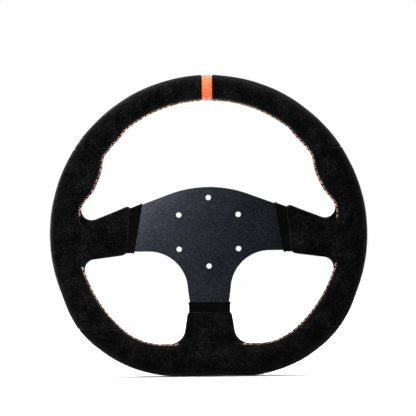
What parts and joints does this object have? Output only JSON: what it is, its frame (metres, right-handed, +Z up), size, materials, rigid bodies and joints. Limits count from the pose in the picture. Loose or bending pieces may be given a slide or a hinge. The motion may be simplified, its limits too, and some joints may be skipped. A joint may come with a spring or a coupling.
{
  "type": "quick release steering wheel",
  "caption": "Flat-bottomed racing steering wheel: suede-wrapped rim with thumb grips and centre marker on a drilled spoke plate that bolts to a quick-release hub.",
  "frame": {"origin": "centre of the bolt circle on the rear face of the spoke plate, where the hub seats", "axes": "+Z up to the centre marker, -Y towards the driver, +X to the driver's right"},
  "size_m": [0.324, 0.03, 0.3074],
  "materials": {
    "anodised_plate": "black anodised, fine horizontal brushing, satin",
    "frame_steel": "plain mild steel tube and lugs, hidden in the rim",
    "rivet_steel": "plated steel rivets",
    "foam": "moulded polyurethane foam, hidden",
    "suede": "black suede, matt with a brushed nap",
    "marker_suede": "bright orange-red suede strip",
    "edge_lip": "smooth black moulded lip, satin",
    "thread": "orange waxed thread"
  },
  "bodies": {
    "root": {"spoke_plate": "anodised_plate", "rim_hoop": "frame_steel", "hoop_lug_left": "frame_steel", "hoop_lug_right": "frame_steel", "hoop_lug_bottom": "frame_steel", "lug_rivets_left": "rivet_steel", "lug_rivets_right": "rivet_steel", "lug_rivets_bottom": "rivet_steel", "foam_padding": "foam", "suede_top_left": "suede", "suede_top_right": "suede", "suede_side_left": "suede", "suede_side_right": "suede", "suede_bottom": "suede", "centre_marker": "marker_suede", "spoke_cover_left": "suede", "spoke_cover_right": "suede", "spoke_cover_bottom": "suede", "spoke_end_band_left": "edge_lip", "spoke_end_band_right": "edge_lip", "spoke_end_band_bottom": "edge_lip", "stitch_upper": "thread", "stitch_lower_left": "thread", "stitch_lower_right": "thread"}
  },
  "joints": []
}
